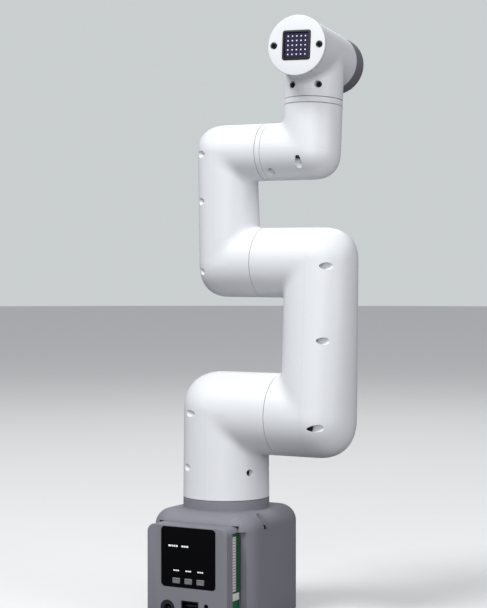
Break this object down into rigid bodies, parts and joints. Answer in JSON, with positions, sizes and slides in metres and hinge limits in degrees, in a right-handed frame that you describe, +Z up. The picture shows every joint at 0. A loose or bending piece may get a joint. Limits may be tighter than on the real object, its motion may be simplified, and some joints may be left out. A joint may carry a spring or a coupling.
{
  "type": "desktop robot arm",
  "caption": "Small desktop collaborative robot arm: grey base with a front display and keys, white rounded links on turning joints, a dot-matrix button and a dark tool flange.",
  "frame": {"origin": "centre of the base plate's flat underside, on the first joint's axis", "axes": "+Z up along the first joint's axis, -Y towards the display at the front of the base, +X towards the side that the upper arm is on"},
  "size_m": [0.157, 0.1205, 0.4641],
  "materials": {
    "white_plastic": "satin moulded",
    "grey_plastic": "fine-textured moulded",
    "flange_plastic": "satin moulded",
    "black_plastic": "matt moulded",
    "display_glass": "polished black window",
    "matrix_lens": "smoked diffuser",
    "key_plastic": "matt moulded",
    "circuit_board": "solder mask",
    "header_plastic": "matt moulded",
    "port_metal": "dark plated",
    "screw_steel": "black oxide",
    "servo_case": "black anodised",
    "horn_alloy": "machined"
  },
  "bodies": {
    "base": {"base_housing": "grey_plastic", "base_plate": "grey_plastic", "controller_case": "grey_plastic", "display_bezel": "grey_plastic", "display_glass": "display_glass", "controller_board": "circuit_board", "power_jack": "black_plastic", "port_socket": "port_metal", "side_board": "circuit_board", "pin_header": "header_plastic", "base_screw_1": "screw_steel", "base_screw_2": "screw_steel", "base_screw_3": "screw_steel", "base_screw_4": "screw_steel", "waist_servo": "servo_case"},
    "left_display_button": {"display_button_1": "key_plastic"},
    "middle_display_button": {"display_button_2": "key_plastic"},
    "right_display_button": {"display_button_3": "key_plastic"},
    "shoulder_turret": {"waist_horn": "horn_alloy", "shoulder_shell": "white_plastic", "shoulder_cover": "white_plastic", "shoulder_screw_1": "screw_steel", "shoulder_screw_2": "screw_steel", "shoulder_screw_3": "screw_steel", "shoulder_servo": "servo_case"},
    "upper_arm": {"shoulder_horn": "horn_alloy", "upper_arm_shell": "white_plastic", "upper_arm_cover": "white_plastic", "upper_arm_screw_1": "screw_steel", "upper_arm_screw_2": "screw_steel", "upper_arm_screw_3": "screw_steel", "elbow_servo": "servo_case"},
    "forearm": {"elbow_horn": "horn_alloy", "forearm_shell": "white_plastic", "forearm_cover": "white_plastic", "forearm_screw_1": "screw_steel", "forearm_screw_2": "screw_steel", "forearm_screw_3": "screw_steel", "wrist_servo": "servo_case"},
    "wrist": {"wrist_horn": "horn_alloy", "wrist_ring": "white_plastic", "wrist_shell": "white_plastic", "wrist_cover": "white_plastic", "wrist_screw_1": "screw_steel", "wrist_screw_2": "screw_steel", "roll_servo": "servo_case"},
    "arm_end": {"roll_ring": "white_plastic", "roll_horn": "horn_alloy", "end_body": "white_plastic", "end_cap": "white_plastic", "matrix_frame": "black_plastic", "cap_screw_1": "screw_steel", "cap_screw_2": "screw_steel", "end_screw_1": "screw_steel", "end_screw_2": "screw_steel", "flange_servo": "servo_case"},
    "matrix_key": {"matrix_button": "matrix_lens"},
    "flange": {"tool_flange": "flange_plastic"}
  },
  "joints": [
    {"name": "waist_turn", "type": "hinge", "parent": "base", "child": "shoulder_turret", "pos_m": [0, 0, 0.092], "axis": [0, 0, 1], "range_deg": [-165, 165]},
    {"name": "shoulder_swing", "type": "hinge", "parent": "shoulder_turret", "child": "upper_arm", "pos_m": [0, 0, 0.159], "axis": [1, 0, 0], "range_deg": [-125, 125]},
    {"name": "elbow_swing", "type": "hinge", "parent": "upper_arm", "child": "forearm", "pos_m": [0, 0.00435, 0.27762], "axis": [-1, 0, 0], "range_deg": [-130, 138]},
    {"name": "wrist_swing", "type": "hinge", "parent": "forearm", "child": "wrist", "pos_m": [0, -0.00063, 0.36398], "axis": [1, 0, 0], "range_deg": [-108, 124]},
    {"name": "wrist_roll", "type": "hinge", "parent": "wrist", "child": "arm_end", "pos_m": [0.0764, -0.00063, 0.36398], "axis": [0, 0.075, 0.9972], "range_deg": [-165, 158]},
    {"name": "flange_turn", "type": "hinge", "parent": "arm_end", "child": "flange", "pos_m": [0.0764, 0.00495, 0.43817], "axis": [-0.1184, 0.9902, -0.0745], "range_deg": [-175, 175]},
    {"name": "left_display_press", "type": "slide", "parent": "base", "child": "left_display_button", "axis": [0, 1, 0], "range_m": [0, 0.0005], "stiffness_N_per_m": 500, "springref_m": -0.0006},
    {"name": "middle_display_press", "type": "slide", "parent": "base", "child": "middle_display_button", "axis": [0, 1, 0], "range_m": [0, 0.0005], "stiffness_N_per_m": 500, "springref_m": -0.0006},
    {"name": "right_display_press", "type": "slide", "parent": "base", "child": "right_display_button", "axis": [0, 1, 0], "range_m": [0, 0.0005], "stiffness_N_per_m": 500, "springref_m": -0.0006},
    {"name": "matrix_press", "type": "slide", "parent": "arm_end", "child": "matrix_key", "axis": [-0.1184, 0.9902, -0.0745], "range_m": [0, 0.0006], "stiffness_N_per_m": 600, "springref_m": -0.0008}
  ]
}
